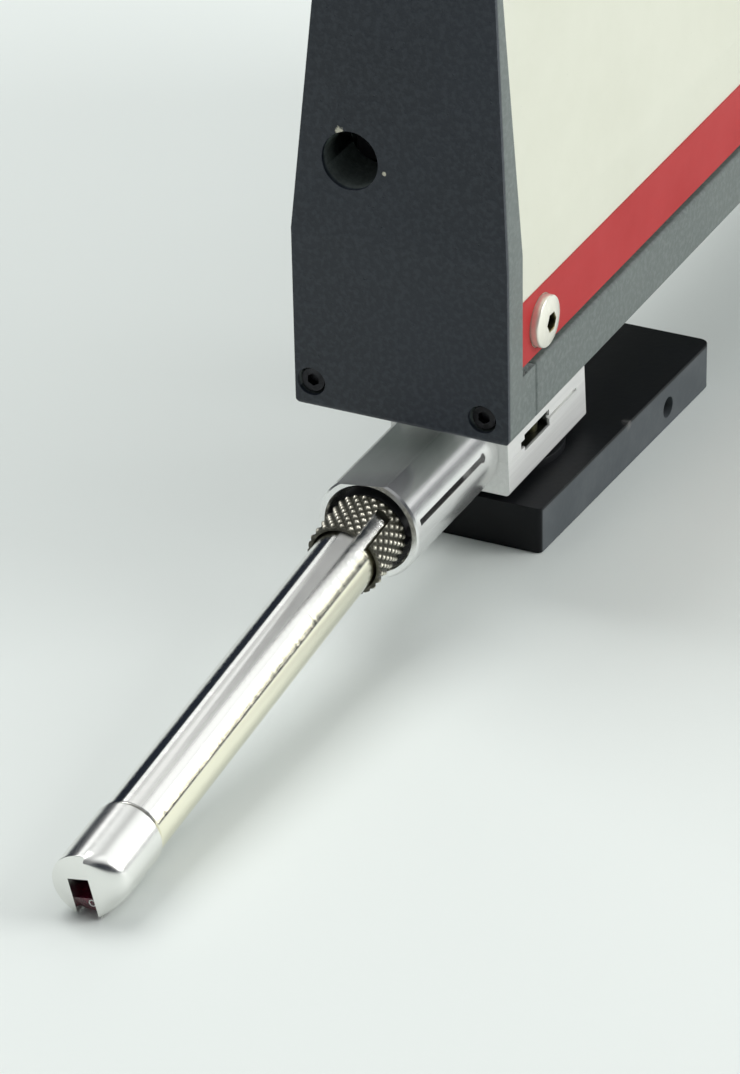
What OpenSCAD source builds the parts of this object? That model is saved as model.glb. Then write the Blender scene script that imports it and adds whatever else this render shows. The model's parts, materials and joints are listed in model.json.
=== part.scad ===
// Pocket surface roughness gauge with a swivelling, tilting plug-in probe.
// X runs to the rear along the housing, -Y is the label side, Z is up.
// The origin lies on the table under the swivel axis. Millimetres.

/* [Housing] */
// Length of the housing with both end plates
housing_l = 140; // [138:0.5:146]
// Thickness of the housing at and below the bend
housing_w = 25.4; // [25.2:0.1:27]
// Height of the housing from its underside to its top
housing_h = 56.2; // [56:0.1:58]
// Height of the bend above the underside
bend_h = 21.5; // [20.5:0.1:22.5]
// Lean of the upper side faces in degrees
side_lean = 4.4; // [4:0.1:4.6]
// Lean of the upper front face in degrees
end_lean = 4.2; // [3:0.1:5]
// Bulge of the front face at the bend
end_bulge = 0.385; // [0.2:0.005:0.5]
// Wall thickness of the casting
wall = 3; // [2.9:0.05:3.1]
// Rounding of the housing edges
edge_r = 0.9; // [0.5:0.1:1.2]
// Thickness of the front end plate
end_plate_t = 7.4; // [7:0.1:7.6]
// Thickness of the rear end plate
rear_plate_t = 5; // [4.8:0.1:5.4]
// Height of the underside above the table
ride_h = 19.8; // [19.6:0.1:20.2]
// Distance from the front of the housing to the swivel axis
nose_to_swivel = 22.5; // [22:0.1:23]
// Radius of the plug bore in the end plate
plug_bore_r = 3.3; // [3:0.1:3.5]

/* [Face] */
// Depth of the face pocket
pocket_d = 1.4; // [1.3:0.05:1.5]
// Thickness of the face panel
panel_t = 1; // [0.9:0.05:1.1]
// Height of the red strip
strip_h = 7.6; // [7:0.05:8]
// Diameter of the panel screw heads
panel_head_d = 5.9; // [5.6:0.1:6.2]
// Length of the display window
display_w = 31; // [28:0.5:32]
// Height of the display window
display_h = 14; // [12:0.5:15]
// Travel of the push buttons
key_travel = 0.8; // [0.5:0.1:1]
// Travel of the unit switch
unit_travel = 3.6; // [2.8:0.1:4]

/* [Traverse] */
// Measuring stroke of the carriage
stroke = 5; // [4:0.1:5.2]
// Radius of the guide rods
rod_r = 1.5; // [1.4:0.05:1.6]
// Radius of the lead screw
screw_r = 1.5; // [1.4:0.05:1.6]
// Module of the drive gears
gear_m = 0.35; // [0.33:0.01:0.36]
// Teeth on the drive gear
gear_teeth = 24; // [24:1:24]
// Teeth on the motor pinion
pinion_teeth = 12; // [12:1:12]
// Running clearance of shafts and rods
run_gap = 0.03; // [0.02:0.01:0.06]

/* [Swivel] */
// Radius of the swivel pivot post
post_r = 3; // [2.8:0.05:3.1]
// Half length of the swivel block
block_x = 10.4; // [10:0.1:10.8]
// Half width of the swivel block at its top
block_top_y = 6.8; // [6.5:0.05:7]
// Half width of the swivel block at its bottom
block_low_y = 7.35; // [7.1:0.05:7.5]
// Outer radius of the probe barrel
barrel_r = 6; // [5.8:0.05:6.1]
// Bore radius of the probe barrel
barrel_bore_r = 5; // [4.95:0.05:5.1]
// Distance of the barrel rim from the swivel axis
barrel_rim = 31.1; // [30.8:0.1:31.6]
// Height of the barrel axis above the table
barrel_z = 11.5; // [11.4:0.1:11.7]

/* [Probe] */
// Radius of the probe tube
tube_r = 3.62; // [3.5:0.02:3.66]
// Radius of the polished nose
nose_r = 3.88; // [3.7:0.02:4]
// Distance of the nose's rear end from the tilt pivot
nose_s = 57.6; // [56.5:0.1:58.5]
// Length of the nose
nose_l = 10.3; // [9.8:0.1:10.8]
// Outer radius of the knurled collar
collar_r = 4.45; // [4.3:0.05:4.5]
// Upward swing of the probe in degrees
lift_range = 7; // [5:0.5:7]
// Pull-out travel of the probe
pull_out = 8; // [6:0.5:8]
// Roll of the probe about its own axis in degrees
probe_roll = 10; // [0:1:15]

/* [Supports] */
// Length of the front foot behind its front edge
foot_l = 45; // [43:0.1:46]
// Half width of the front foot
foot_y = 10.8; // [10.6:0.1:11.2]
// Thickness of the front foot plate
foot_t = 5.6; // [5.4:0.05:5.65]
// Length of the rear foot
rear_foot_l = 14; // [12:0.5:16]

/* [Hidden] */
$fn = 48;
// Overshoot of cutting shapes
over = 0.5;
// Clearance of moving pieces in their openings
move_gap = 0.3;
// Clearance of flat faces that slide past each other
slide_gap = 0.2;

// Housing stations
x0 = -nose_to_swivel;
xr = x0 + housing_l;
xp = x0 + end_plate_t;
xq = xr - rear_plate_t;
z0 = ride_h;
zb = z0 + bend_h;
z1 = z0 + housing_h;
zf = z0 + wall;
zc = z1 - wall;
hw = housing_w / 2;
boss_l = 8;

// Face pocket, panel and screws
pocket_x0 = x0 + 3.7;
pocket_x1 = xr - 4;
pocket_z0 = z0 + 6.95;
pocket_z1 = z1 - 1.7;
panel_gap = 0.1;
panel_z0 = z0 + 7.8;
panel_z1 = z1 - 2.2;
panel_in = pocket_d - panel_t;
strip_t = 0.15;
screw_xs = [xp + 1.7, pocket_x1 - 5];
screw_up_xs = [screw_xs[0] + 7, screw_xs[1]];
screw_low_z = z0 + 11.3;
panel_head_h = 1.45;
panel_crown = 0.4;
screw_up_v = (z1 - 5.6 - zb) / cos(side_lean);
panel_shank_r = 1.5;
tongue_l = 4.6;
tongue_t = 3.4;
panel_shank_l = [wall + 2.6, wall - 0.1];

// End screws: lower pair and one at the top
end_screws_yz = [[-9.6, z0 + 2.95], [10.75, z0 + 3.2], [0, z1 - 3.2]];
end_head_r = 1.35;
end_sink_r = 1.65;
end_sink_d = 1.9;
end_shank_r = 1;

// Plug bore and jack
plug_y = 5.9;
plug_z = z0 + 30.5;
jack_l = 9;

// Battery and its door
battery_size = [48.5, 17.5, 26.5];
battery_x1 = xq - 0.5;
battery_x0 = battery_x1 - battery_size[0];
contact_t = 1.6;
contact_r = 3;
door_t = 2.4;
door_pin_r = 0.9;
knuckle_r = 1.6;
door_y = battery_size[1] / 2;
pin_x = xr - knuckle_r;
pin_z = zf + battery_size[2] - 0.7;
hatch_y = door_y + move_gap;
hatch_z1 = pin_z + knuckle_r + move_gap;
rear_screws_yz = [[-8.6, hatch_z1 + 5.5], [8.6, hatch_z1 + 5.5], [0, z1 - 3.2]];

// Display, keys and board, in the slanted face frame: along, up the slope
board_n = 9.2;
board_t = 1.6;
board_x = [xr - 74, xr - 13];
board_clear = 0.6;
board_low_z = zf + battery_size[2] + 0.25;
board_v = [
  (board_low_z + board_n * sin(side_lean) - zb) / cos(side_lean),
  (zc - board_clear + (board_n - board_t) * sin(side_lean) - zb) / cos(side_lean)
];
board_h = board_v[1] - board_v[0];
display_at = [xr - 54, mid(board_v)];
display_rim = 2;
keys_at = [[xr - 19.5, board_v[0] + 0.62 * board_h], [xr - 19.5, board_v[0] + 0.18 * board_h]];
key_size = [[10, 0.31 * board_h], [10, 0.26 * board_h]];
key_flange = 1;
unit_at = [xr - 31.5, mid(board_v) - 2.4];
unit_knob = [3, 3.6];
posts_at = [
  [board_x[0] + 2.3, board_v[0] + 2.2], [board_x[0] + 2.3, board_v[1] - 1.8],
  [board_x[1] - 2, board_v[1] - 1.8], [board_x[1] - 14.5, board_v[0] + 1.6]
];
stud_r = 1.6;
board_screw_r = 0.8;
switch_n = 6.1;
slide_n = 4.8;

// Traverse
boss_x = 5.4;
boss_y = 4.5;
carriage_x = [-7.5, 14];
carriage_y = 7.6;
carriage_z = [zf + 0.5, zf + 7.2];
rod_y = 6;
rod_z = zf + 3.2;
front_bracket_x = [xp + 1.6, xp + tongue_l];
drive_bracket_x = [24, 28];
bracket_y = 7.8;
screw_z = zf + 12.2;
gear_x = [20.2, 23.2];
gear_gap = 0.1;
motor_z = screw_z + gear_m * (gear_teeth + pinion_teeth) / 2 + gear_gap;
motor_r = 6;
motor_room = 12.3;
motor_l = battery_x0 - 2 * contact_t - drive_bracket_x[1] - motor_room;
motor_cap = 1.5;
shaft_in = 0.35 * motor_l;
shaft_r = 0.75;
nut_x = [3, 11];

// Swivel
block_z0 = foot_t + 1.1;
block_z1 = z0 - slide_gap;
post_z0 = barrel_z + 2.9;
post_z1 = zf + 6.2;
pivot_head_r = 2.3;
pivot_sink_z = block_z0 + 2.7;
pivot_shank_r = 1.25;
spigot_r = 4.6;
spigot_x = 3.4;
slit_z = barrel_z - 0.2;
clamp_at = [-1.2, -5.2];
clamp_r = 1.2;
ball_r = 0.75;
ball_ring = 4.4;
ball_drop = 0.15;
barrel_end = 16.5;
barrel_flat = 5.2;
barrel_low = 5.55;
barrel_slits = [75, -45, 195];

// Tilting probe: s runs forward along the probe from the tilt pivot
pivot_x = -(barrel_rim - 1.4);
nose_flat = nose_l - 0.4;
nose_round = 3.6;
skid_r = nose_r - 0.12;
skid_s = nose_s + nose_flat - 0.4;
table_gap = 0.04;
tilt = asin((barrel_z - table_gap) / norm([skid_s, skid_r])) - atan2(skid_r, skid_s);
trunnion_r = 0.6;
sleeve_r = 4.2;
sleeve_s = [-4, 0.9];
cradle_tail_r = 2.9;
cradle_tail_s = -12;
plug_r = 2.3;
plug_s = -9;
pin_r = 0.4;
pin_y = 1.1;
collar_s = [1, 7.5];
collar_bore_r = tube_r + 0.2;
collar_floor = 1.2;
collar_slot_w = 1.8;
collar_slot_a = 48;
tube_wall = 0.6;
slot_u = [-0.74, 1.95];
slot_w = 0.9;
slot_d = 6;
stylus_u = 0.6;
stylus_pivot = [skid_s - 5, -0.9];
stylus_l = 2.9;
stylus_pin_r = 0.3;

// Supports
foot_x0 = -9.8;
foot_x1 = foot_x0 + foot_l;
foot_flare = 1.3;
riser_x = 17;
riser_y = 7;
bracket_screw_xs = [foot_x1 - 13, foot_x1 - 6];
bracket_screw_y = 9;
pad_r = 7.6;
set_hole = [23.6, 2.4];
set_r = 1.25;
rear_foot_x = [xr - 5.5 - rear_foot_l, xr - 5.5];
leg_y = [7.5, 11.5];
bridge_t = 3.2;

// Half thickness of the housing at height z, for a skin d below the surface
function half_at(z, d) = min(hw - d, hw - d / cos(side_lean) - tan(side_lean) * (z - zb));
function bend_z(d) = zb - d * tan(side_lean / 2);
function ring(za, zz, d) = [
  [-(hw - d), za], [hw - d, za], [hw - d, bend_z(d)], [half_at(zz, d), zz],
  [-half_at(zz, d), zz], [-(hw - d), bend_z(d)]
];
// Band on the label side between depths a and b
function band(a, b, za, zz) = [
  [-(hw - a), za], [-(hw - b), za], [-(hw - b), bend_z(b)], [-half_at(zz, b), zz],
  [-half_at(zz, a), zz], [-(hw - a), bend_z(a)]
];
// Front face station at height z
function front_x(z) = z < zb ? x0 - end_bulge * (z - z0) / bend_h
  : x0 - end_bulge + tan(end_lean) * (z - zb);

function unit(v) = v / norm(v);
// Corner p between neighbours a and b, rounded with radius r
function corner(a, p, b, r) =
  let (u = unit(a - p), w = unit(b - p), h = acos(u * w) / 2, t = 180 - 2 * h)
  let (c = p + unit(u + w) * r / sin(h), s = p + u * r / tan(h) - c, e = p + w * r / tan(h) - c)
  r == 0 ? [p] : [for (i = [0:6]) c + (s * sin(t * (1 - i / 6)) + e * sin(t * i / 6)) / sin(t)];
function rounded(pts, rs) =
  let (n = len(pts))
  [for (i = [0:n - 1]) each corner(pts[(i + n - 1) % n], pts[i], pts[(i + 1) % n], rs[i])];
function box_pts(a, b) = [[a[0], a[1]], [b[0], a[1]], [b[0], b[1]], [a[0], b[1]]];

// Section in Y and Z drawn from station xa to xb
module yz(pts, xa, xb) {
  translate([xa, 0, 0]) rotate([90, 0, 90]) linear_extrude(xb - xa) polygon(pts);
}
// Section in X and Z drawn from ya to yb
module xz(pts, ya, yb) {
  translate([0, yb, 0]) rotate([90, 0, 0]) linear_extrude(yb - ya) polygon(pts);
}
// Section in X and Y drawn from za to zb
module xy(pts, za, zz) {
  translate([0, 0, za]) linear_extrude(zz - za) polygon(pts);
}
module box(a, b) {
  translate(a) cube(b - a);
}
// Cylinder along X, Y or Z between two stations
module bar_x(r, xa, xb, y, z) {
  translate([xa, y, z]) rotate([0, 90, 0]) cylinder(r = r, h = xb - xa);
}
module bar_y(r, ya, yb, x, z) {
  translate([x, yb, z]) rotate([90, 0, 0]) cylinder(r = r, h = yb - ya);
}
module bar_z(r, za, zz, x, y) {
  translate([x, y, za]) cylinder(r = r, h = zz - za);
}
// Slanted upper label face: x along, y up the slope from the bend, z outward
module face() {
  translate([0, -hw, zb]) rotate([90 - side_lean, 0, 0]) children();
}
// Seats of the four panel screws, z outward from the housing surface
module panel_seat(i, up) {
  if (up) face() translate([screw_up_xs[i], screw_up_v, 0]) children();
  else translate([screw_xs[i], -hw, screw_low_z]) rotate([90, 0, 0]) children();
}
module panel_holes(r) {
  for (i = [0, 1], up = [false, true])
    panel_seat(i, up) translate([0, 0, -wall - tongue_t - over])
      cylinder(r = r, h = wall + tongue_t + 2 * over);
}
// Hexagon recess cut from the top of a head
module hex_sink(w, d, top) {
  translate([0, 0, top - d]) cylinder(d = w / cos(30), h = d + over, $fn = 6);
}
module face_pocket() {
  yz(band(-1, pocket_d, pocket_z0, pocket_z1), pocket_x0, pocket_x1);
}
module outer(xa, xb) {
  yz(rounded(ring(z0, z1, 0), [edge_r, edge_r, 0, edge_r, edge_r, 0]), xa, xb);
}

module housing_shell() {
  difference() {
    outer(xp, xq);
    yz(ring(zf, zc, wall), xp - over, xq + over);
  }
  // Corner bosses for the end screws
  for (s = [-1, 1])
    box([xp, s * 8 - (s < 0 ? hw - wall - 7.8 : 0), zf - 0.2],
      [xp + boss_l, s * 8 + (s > 0 ? hw - wall - 7.8 : 0), zf + 3]);
  box([xp, -3, zc - 3], [xp + boss_l, 3, zc + 0.2]);
  box([xq - boss_l, -3, zc - 3], [xq, 3, zc + 0.2]);
  // Side bosses for the rear screws
  for (p = [rear_screws_yz[0], rear_screws_yz[1]])
    intersection() {
      box([xq - boss_l, p[0] < 0 ? -hw : 6, p[1] - 3.5], [xq, p[0] < 0 ? -6 : hw, p[1] + 3.5]);
      yz(ring(zf, zc, wall / 2), xp, xq);
    }
  // Posts for the main board
  for (p = posts_at)
    face() translate([p[0], p[1], -board_n + board_t])
      cylinder(r = stud_r, h = board_n - board_t - wall + 0.3);
}
module housing() {
  color([0.28, 0.31, 0.34]) difference() {
    housing_shell();
    face_pocket();
    panel_holes(panel_shank_r);
    // Floor slot for the swivel boss
    box([-boss_x - move_gap, -boss_y - move_gap, z0 - over],
      [boss_x + stroke + move_gap, boss_y + move_gap, zf + over]);
    for (p = end_screws_yz) bar_x(end_shank_r, xp - over, xp + 6.5, p[0], p[1]);
    for (p = rear_screws_yz) bar_x(end_shank_r, xq - 6.5, xq + over, p[0], p[1]);
    for (x = bracket_screw_xs) bar_z(1.1, z0 - over, zf - 0.2, x, bracket_screw_y);
    for (s = [-1, 1]) bar_z(1.1, z0 - over, zf - 0.2, mid(rear_foot_x), s * 4);
    face() {
      for (p = posts_at) translate([p[0], p[1], -board_n]) cylinder(r = board_screw_r, h = 5);
      hole_box(display_at, [display_w, display_h], 0);
      for (i = [0, 1]) hole_box(keys_at[i], key_size[i], move_gap);
      hole_box(unit_at, [unit_knob[0] + unit_travel, unit_knob[1]], move_gap);
    }
  }
}
function mid(p) = (p[0] + p[1]) / 2;
// Opening through the label wall, in the face frame, widened by g all round
module hole_box(at, size, g) {
  translate([at[0], at[1], -wall]) cube([size[0] + 2 * g, size[1] + 2 * g, 2 * wall + 2], center = true);
}
module end_plate() {
  front = [
    [x0, z0], [x0 - end_bulge, zb], [front_x(z1), z1], [xp, z1], [xp, z0]
  ];
  color([0.24, 0.27, 0.3]) difference() {
    union() {
      intersection() {
        outer(x0 - 2, xp);
        xz(rounded(front, [edge_r, 0, edge_r, 0, 0]), -hw - 1, hw + 1);
      }
      // Tongues behind the label wall, which take the front panel screws
      box([xp - 1, -hw + wall + 0.05, screw_low_z - 2.9],
        [xp + tongue_l, -hw + wall + 0.05 + tongue_t, screw_low_z + 4]);
      face() box([xp - 1, screw_up_v - 2.6, -wall - 0.05 - tongue_t],
        [screw_up_xs[0] + tongue_l - 0.5, screw_up_v + 2.6, -wall - 0.05]);
    }
    face_pocket();
    panel_holes(panel_shank_r);
    bar_x(plug_bore_r, x0 - 3, xp + over, plug_y, plug_z);
    for (p = end_screws_yz) {
      bar_x(end_shank_r, x0 - 3, xp + over, p[0], p[1]);
      bar_x(end_sink_r, x0 - 3, front_x(p[1]) + end_sink_d, p[0], p[1]);
    }
  }
}
module rear_plate() {
  back = [[xq, z0], [xr, z0], [xr, z1], [xq, z1]];
  color([0.24, 0.27, 0.3]) difference() {
    intersection() {
      outer(xq, xr + 1);
      xz(rounded(back, [0, edge_r, edge_r, 0]), -hw - 1, hw + 1);
    }
    face_pocket();
    box([xq - over, -hatch_y, zf], [xr + over, hatch_y, hatch_z1]);
    bar_y(door_pin_r, -hatch_y - 1.8, hatch_y + 1.8, pin_x, pin_z);
    for (p = rear_screws_yz) {
      bar_x(end_shank_r, xq - over, xr + over, p[0], p[1]);
      bar_x(end_sink_r, xr - end_sink_d, xr + over, p[0], p[1]);
    }
  }
}
module face_panel() {
  color([0.9, 0.9, 0.82]) difference() {
    yz(band(panel_in, pocket_d, panel_z0, panel_z1), pocket_x0 + panel_gap, pocket_x1 - panel_gap);
    panel_holes(panel_shank_r);
    face() {
      hole_box(display_at, [display_w - 2 * display_rim, display_h - 2 * display_rim], 0);
      for (i = [0, 1]) hole_box(keys_at[i], key_size[i], move_gap);
      hole_box(unit_at, [unit_knob[0] + unit_travel, unit_knob[1]], move_gap);
    }
  }
}
module red_strip() {
  color([0.76, 0.25, 0.26]) difference() {
    box([pocket_x0 + panel_gap, -hw + panel_in - strip_t, panel_z0],
      [pocket_x1 - panel_gap, -hw + panel_in, panel_z0 + strip_h]);
    for (i = [0, 1])
      panel_seat(i, false) translate([0, 0, -2]) cylinder(r = panel_head_d / 2 + 0.1, h = 4);
  }
}
// Pan head crowned by c, with a hexagon recess, seated at z = 0, shank of length l below
module pan_screw(d, h, c, r, l) {
  dome = (d * d / 4 + c * c) / (2 * c);
  difference() {
    union() {
      intersection() {
        cylinder(d = d, h = h);
        translate([0, 0, h - dome]) sphere(r = dome);
      }
      translate([0, 0, -l]) cylinder(r = r, h = l + 0.1);
    }
    hex_sink(1.8, 1, h);
  }
}
module panel_screws() {
  color([0.86, 0.86, 0.84])
    for (i = [0, 1], up = [false, true])
      panel_seat(i, up) translate([0, 0, -panel_in])
        pan_screw(panel_head_d, panel_head_h, panel_crown, panel_shank_r, panel_shank_l[i] - panel_in);
}
// Cap screw along +X: head front at 0, shank to l
module cap_screw(l) {
  rotate([0, 90, 0]) difference() {
    union() {
      cylinder(r = end_head_r, h = 1.4);
      cylinder(r = end_shank_r, h = l);
    }
    translate([0, 0, -over]) cylinder(d = 1.3 / cos(30), h = over + 0.8, $fn = 6);
  }
}
module end_screws() {
  color([0.1, 0.1, 0.12])
    for (p = end_screws_yz)
      translate([front_x(p[1]) + end_sink_d - 1.4, p[0], p[1]])
        cap_screw(xp + 6 - front_x(p[1]) - end_sink_d + 1.4);
}
module rear_screws() {
  color([0.1, 0.1, 0.12])
    for (p = rear_screws_yz)
      translate([xr - end_sink_d + 1.4, p[0], p[1]]) rotate([0, 0, 180])
        cap_screw(rear_plate_t - end_sink_d + 1.4 + 6);
}

module foot_bracket() {
  plan = [[foot_x0, -foot_y], [foot_x1, -foot_y - foot_flare], [foot_x1, foot_y], [foot_x0, foot_y]];
  color([0.2, 0.22, 0.26]) difference() {
    union() {
      xy(rounded(plan, [0.6, 1.2, 3, 0.6]), 0, foot_t);
      bar_z(pad_r, foot_t - 0.1, block_z0 - slide_gap, stroke / 2, 0);
      box([riser_x, riser_y, foot_t - 0.1], [foot_x1 - 3, foot_y, z0]);
    }
    bar_y(set_r, -foot_y - foot_flare - over, -foot_y + 5, set_hole[0], set_hole[1]);
    for (x = bracket_screw_xs) {
      bar_z(1.1, -over, z0 + over, x, bracket_screw_y);
      bar_z(1.9, -over, 3, x, bracket_screw_y);
    }
  }
}
// Vertical cap screw: head from za up to zs, shank on to zz
module up_screw(x, y, za, zs, zz) {
  difference() {
    union() {
      bar_z(1.9, za, zs, x, y);
      bar_z(1.1, za, zz, x, y);
    }
    translate([x, y, za - over]) cylinder(d = 1.6 / cos(30), h = over + 1, $fn = 6);
  }
}
module bracket_screws() {
  color([0.12, 0.12, 0.13])
    for (x = bracket_screw_xs) up_screw(x, bracket_screw_y, 1, 3, zf - 0.2);
}
module set_screw() {
  color([0.3, 0.3, 0.32]) difference() {
    bar_y(set_r, -foot_y + 1.5, -foot_y + 5, set_hole[0], set_hole[1]);
    translate([set_hole[0], -foot_y + 2.5, set_hole[1]]) rotate([90, 0, 0])
      cylinder(d = 1.2 / cos(30), h = 2, $fn = 6);
  }
}
module rear_foot() {
  color([0.2, 0.22, 0.26]) difference() {
    union() {
      for (s = [-1, 1])
        xy(rounded(box_pts([rear_foot_x[0], s * mid(leg_y) - 2], [rear_foot_x[1], s * mid(leg_y) + 2]),
          [1, 1, 1, 1]), 0, z0);
      box([rear_foot_x[0] + 1, -mid(leg_y), z0 - bridge_t], [rear_foot_x[1] - 1, mid(leg_y), z0]);
    }
    for (s = [-1, 1]) {
      bar_z(1.1, z0 - bridge_t - over, z0 + over, mid(rear_foot_x), s * 4);
      bar_z(1.9, z0 - bridge_t - over, z0 - bridge_t + 1.6, mid(rear_foot_x), s * 4);
    }
  }
}
module rear_foot_screws() {
  color([0.12, 0.12, 0.13])
    for (s = [-1, 1])
      up_screw(mid(rear_foot_x), s * 4, z0 - bridge_t + 0.1, z0 - bridge_t + 1.6, zf - 0.2);
}

module front_bracket() {
  color([0.72, 0.73, 0.74]) difference() {
    union() {
      box([front_bracket_x[0], -bracket_y, zf], [front_bracket_x[1], bracket_y, rod_z + 2]);
      box([front_bracket_x[0], -4.6, zf], [front_bracket_x[1], 4.6, screw_z + 4]);
    }
    for (s = [-1, 1]) bar_x(rod_r, front_bracket_x[0] - over, front_bracket_x[1] + over, s * rod_y, rod_z);
    bar_x(screw_r + run_gap, front_bracket_x[0] - over, front_bracket_x[1] + over, 0, screw_z);
  }
}
module drive_bracket() {
  color([0.72, 0.73, 0.74]) difference() {
    box([drive_bracket_x[0], -bracket_y, zf], [drive_bracket_x[1], bracket_y, motor_z + motor_r + 1]);
    for (s = [-1, 1]) bar_x(rod_r, drive_bracket_x[0] - over, drive_bracket_x[1] + over, s * rod_y, rod_z);
    bar_x(screw_r + run_gap, drive_bracket_x[0] - over, drive_bracket_x[1] + over, 0, screw_z);
    bar_x(shaft_r + 0.4, drive_bracket_x[0] - over, drive_bracket_x[1] + over, 0, motor_z);
  }
}
module guide_rods() {
  color([0.8, 0.81, 0.82])
    for (s = [-1, 1]) bar_x(rod_r, front_bracket_x[0], drive_bracket_x[1], s * rod_y, rod_z);
}
module motor() {
  color([0.62, 0.63, 0.64]) difference() {
    union() {
      bar_x(motor_r, drive_bracket_x[1], drive_bracket_x[1] + motor_l, 0, motor_z);
      bar_x(0.4 * motor_r, drive_bracket_x[1], drive_bracket_x[1] + motor_l + motor_cap, 0, motor_z);
    }
    bar_x(shaft_r + run_gap, drive_bracket_x[1] - over,
      drive_bracket_x[1] + shaft_in + slide_gap, 0, motor_z);
  }
}
module limit_switch() {
  color([0.12, 0.12, 0.13]) {
    box([drive_bracket_x[0] - 3.6, -2.6, zf], [drive_bracket_x[0], 2.6, zf + 5.6]);
    box([drive_bracket_x[0] - 4.2, -0.8, zf + 2.4], [drive_bracket_x[0] - 3.5, 0.8, zf + 4]);
  }
}

// Box in the face frame between depths a and b below the housing surface
module face_box(at, size, a, b) {
  face() box([at[0] - size[0] / 2, at[1] - size[1] / 2, -b], [at[0] + size[0] / 2, at[1] + size[1] / 2, -a]);
}
module main_board() {
  color([0.1, 0.36, 0.2]) difference() {
    face() box([board_x[0], board_v[0], -board_n], [board_x[1], board_v[1], -board_n + board_t]);
    face() for (p = posts_at) translate([p[0], p[1], -board_n - over]) cylinder(r = board_screw_r, h = 4);
  }
}
module board_screws() {
  color([0.75, 0.75, 0.72])
    for (p = posts_at) face() {
      translate([p[0], p[1], -board_n - 1.2]) cylinder(r = 1.5, h = 1.2);
      translate([p[0], p[1], -board_n - 0.1]) cylinder(r = board_screw_r, h = 4.5);
    }
}
// Key switches under the buttons, the slide switch body, chips and capacitors
module board_parts() {
  top = board_n - board_t;
  color([0.13, 0.13, 0.15]) {
    for (p = keys_at) face_box(p, [6, 0.7 * board_h / 4], switch_n, top);
    face_box(unit_at, [9, 5], slide_n, top);
    for (x = [6.5, 20.5]) face_box([board_x[0] + x, mid(board_v)], [9, 9], board_n, board_n + 1.4);
    for (k = [0.25, 0.5, 0.75])
      face_box([board_x[0] + 34.5, board_v[0] + k * board_h], [5, 3], board_n, board_n + 1.2);
    for (x = [46.5, 52.5])
      face() translate([board_x[0] + x, mid(board_v), -board_n - 5]) cylinder(r = 2.4, h = 5);
  }
}
module display_module() {
  color([0.7, 0.74, 0.68])
    face_box(display_at, [display_w - 1, display_h - 1], pocket_d + 1.3, board_n - board_t);
}
module display_window() {
  color([0.75, 0.8, 0.82, 0.5])
    face_box(display_at, [display_w - 0.2, display_h - 0.2], pocket_d, pocket_d + 1.2);
}
module output_jack() {
  color([0.14, 0.14, 0.15]) difference() {
    box([xp, plug_y - 2.7, plug_z - 3], [xp + jack_l, plug_y + 2.5, plug_z + 3]);
    bar_x(1.8, xp - over, xp + jack_l - 1.5, plug_y, plug_z);
  }
}
module battery() {
  color([0.2, 0.2, 0.24])
    box([battery_x0, -battery_size[1] / 2, zf],
      [battery_x1, battery_size[1] / 2, zf + battery_size[2]]);
}
module battery_contacts() {
  color([0.75, 0.6, 0.3]) {
    box([battery_x0 - 2 * contact_t, -0.9 * door_y, zf],
      [battery_x0 - contact_t, 0.9 * door_y, zf + 0.94 * battery_size[2]]);
    for (k = [0.26, 0.72])
      bar_x(contact_r, battery_x0 - contact_t - 0.1, battery_x0, 0, zf + k * battery_size[2]);
  }
}
module door_pin() {
  color([0.7, 0.7, 0.7]) bar_y(door_pin_r, -hatch_y - 1.8, hatch_y + 1.8, pin_x, pin_z);
}
module battery_door() {
  color([0.22, 0.24, 0.28]) difference() {
    union() {
      box([xr - door_t, -door_y, zf + move_gap], [xr, door_y, pin_z]);
      bar_y(knuckle_r, -door_y, door_y, pin_x, pin_z);
    }
    bar_y(door_pin_r + run_gap, -door_y - over, door_y + over, pin_x, pin_z);
    // Finger notch at the lower edge
    bar_y(1.6, -4, 4, xr + 0.6, zf + 3.2);
  }
}
// Push button: cap through the wall, flange behind it
module push_button(i) {
  face_box(keys_at[i], key_size[i], -1.2, wall + slide_gap + 0.2);
  face_box(keys_at[i], key_size[i] + [2, 2] * (move_gap + key_flange),
    wall + slide_gap, wall + slide_gap + 1);
  face_box(keys_at[i], [3, 3], wall + slide_gap + 0.9, switch_n - key_travel - slide_gap);
}
module run_button() {
  color([0.75, 0.24, 0.24]) push_button(0);
}
module power_button() {
  color([0.16, 0.17, 0.19]) push_button(1);
}
module unit_switch() {
  at = [unit_at[0] - unit_travel / 2, unit_at[1]];
  color([0.12, 0.12, 0.14]) {
    face_box(at, unit_knob, -0.9, wall + slide_gap + 0.1);
    face_box(at, unit_knob + [4, 3], wall + slide_gap, slide_n - slide_gap);
  }
}

module carriage() {
  color([0.74, 0.75, 0.76]) difference() {
    union() {
      box([carriage_x[0], -carriage_y, carriage_z[0]], [carriage_x[1], carriage_y, carriage_z[1]]);
      box([-boss_x, -boss_y, z0], [boss_x, boss_y, carriage_z[0] + 0.1]);
    }
    for (s = [-1, 1]) bar_x(rod_r + run_gap, carriage_x[0] - over, carriage_x[1] + over, s * rod_y, rod_z);
    bar_z(post_r, z0 - over, post_z1, 0, 0);
    bar_z(ball_r, z0 - over, z0 + 4, ball_ring, 0);
  }
}
module pivot_post() {
  color([0.78, 0.79, 0.8]) difference() {
    bar_z(post_r, post_z0, post_z1, 0, 0);
    bar_z(pivot_shank_r, post_z0 - over, post_z0 + 7, 0, 0);
  }
}
module pivot_screw() {
  color([0.5, 0.5, 0.52]) difference() {
    union() {
      bar_z(pivot_head_r, block_z0 + slide_gap, pivot_sink_z - slide_gap, 0, 0);
      bar_z(pivot_shank_r, block_z0 + slide_gap, post_z0 + 7, 0, 0);
    }
    translate([0, 0, block_z0]) cylinder(d = 2 / cos(30), h = 1.4, $fn = 6);
  }
}
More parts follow.
